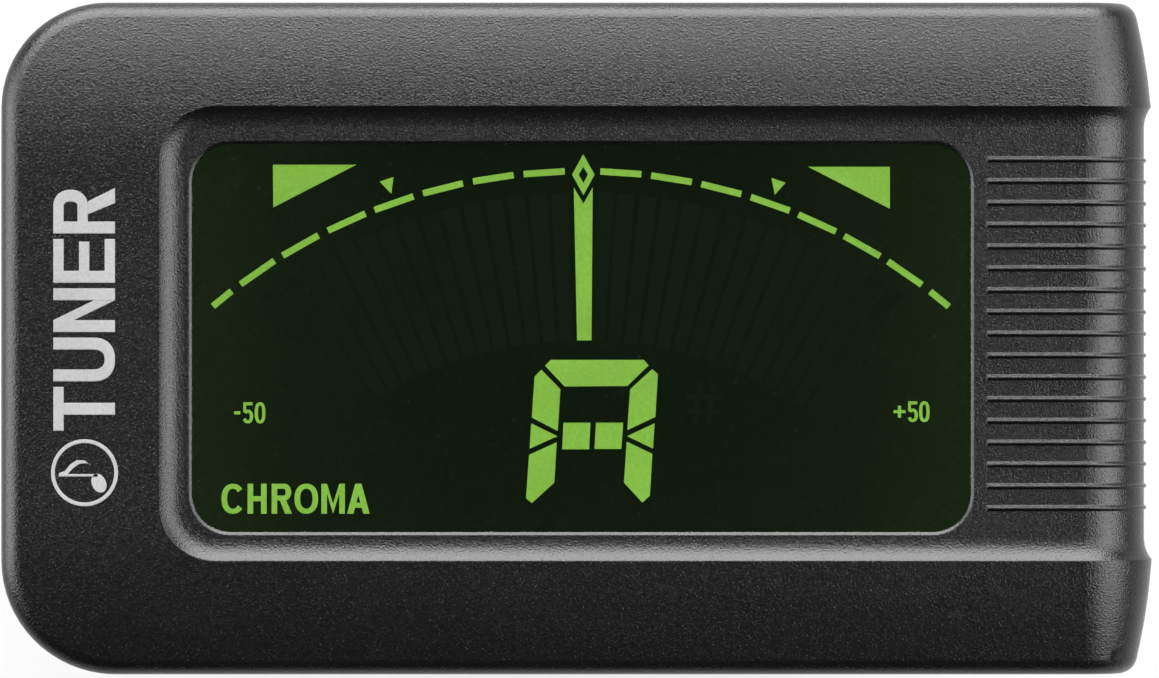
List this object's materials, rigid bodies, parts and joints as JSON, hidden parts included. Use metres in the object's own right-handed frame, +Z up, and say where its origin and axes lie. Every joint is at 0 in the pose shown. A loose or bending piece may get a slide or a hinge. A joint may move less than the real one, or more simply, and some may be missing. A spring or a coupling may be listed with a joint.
{
  "type": "clip-on tuner",
  "caption": "Clip-on instrument tuner: a backlit needle display head on a two-axis neck above a sprung clip with rubber pads, a sliding battery cover and push buttons.",
  "frame": {"origin": "centre of the footprint, on the flat underside of the clip's lower jaw", "axes": "+Z up, the way the display faces; +X towards the open, ribbed end of the head; +Y towards the top of the display"},
  "size_m": [0.0599, 0.035, 0.0385],
  "materials": {
    "shell_black": "fine moulded grain",
    "clip_black": "satin moulded",
    "pad_rubber": "matt",
    "pin_steel": "turned",
    "spring_steel": "drawn wire",
    "lens_clear": "clear gloss",
    "lcd_glass": "dark",
    "light_guide": "clear acrylic",
    "frame_white": "satin",
    "zebra": "matt",
    "board_green": "solder mask",
    "chip_black": "moulded",
    "switch_metal": "satin",
    "cell_steel": "brushed",
    "contact_nickel": "nickel",
    "piezo_brass": "satin",
    "lead_red": "gloss",
    "screw_black": "black oxide",
    "button_grey": "matt",
    "cover_black": "fine moulded grain",
    "neck_black": "satin acetal"
  },
  "bodies": {
    "base": {"lower_jaw": "clip_black", "lower_pad": "pad_rubber", "jaw_pin": "pin_steel", "jaw_spring": "spring_steel"},
    "clip_arm": {"upper_jaw": "clip_black", "upper_pad": "pad_rubber", "tilt_pin": "pin_steel", "tilt_clip": "spring_steel"},
    "neck": {"knuckle": "neck_black", "swivel_washer": "pin_steel", "swivel_spring_washer": "spring_steel", "swivel_screw": "pin_steel"},
    "head": {"front_case": "shell_black", "rear_case": "shell_black", "window_lens": "lens_clear", "lcd_panel": "lcd_glass", "lcd_backlight": "light_guide", "lcd_frame": "frame_white", "zebra_strip": "zebra", "circuit_board": "board_green", "board_components": "chip_black", "tact_switches": "switch_metal", "battery_cell": "cell_steel", "battery_contact_plus": "contact_nickel", "battery_contact_minus": "contact_nickel", "piezo_disc": "piezo_brass", "piezo_leads": "lead_red", "case_screws": "screw_black"},
    "power_key": {"power_button": "button_grey"},
    "mode_key": {"mode_button": "button_grey"},
    "flat_key": {"flat_button": "button_grey"},
    "pitch_key": {"pitch_button": "button_grey"},
    "cover": {"battery_cover": "cover_black"}
  },
  "joints": [
    {"name": "jaw_open", "type": "hinge", "parent": "base", "child": "clip_arm", "pos_m": [0.005, 0, 0.0085], "axis": [0, 1, 0], "range_deg": [0, 36], "stiffness_Nm_per_rad": 0.25, "springref_deg": -45.84, "deforming": ["jaw_spring"]},
    {"name": "head_tilt", "type": "hinge", "parent": "clip_arm", "child": "neck", "pos_m": [0, 0, 0.0215], "axis": [1, 0, 0], "range_deg": [-45, 45]},
    {"name": "head_swivel", "type": "hinge", "parent": "neck", "child": "head", "pos_m": [0, 0, 0.0298], "axis": [0, 0, 1], "continuous": true},
    {"name": "power_press", "type": "slide", "parent": "head", "child": "power_key", "axis": [0, 0, 1], "range_m": [0, 0.0005], "stiffness_N_per_m": 400, "springref_m": -0.0005},
    {"name": "mode_press", "type": "slide", "parent": "head", "child": "mode_key", "axis": [0, 0, 1], "range_m": [0, 0.0005], "stiffness_N_per_m": 400, "springref_m": -0.0005},
    {"name": "flat_press", "type": "slide", "parent": "head", "child": "flat_key", "axis": [0, 0, 1], "range_m": [0, 0.0005], "stiffness_N_per_m": 400, "springref_m": -0.0005},
    {"name": "pitch_press", "type": "slide", "parent": "head", "child": "pitch_key", "axis": [0, 0, 1], "range_m": [0, 0.0005], "stiffness_N_per_m": 400, "springref_m": -0.0005},
    {"name": "battery_cover_slide", "type": "slide", "parent": "head", "child": "cover", "axis": [-1, 0, 0], "range_m": [0, 0.021]}
  ]
}
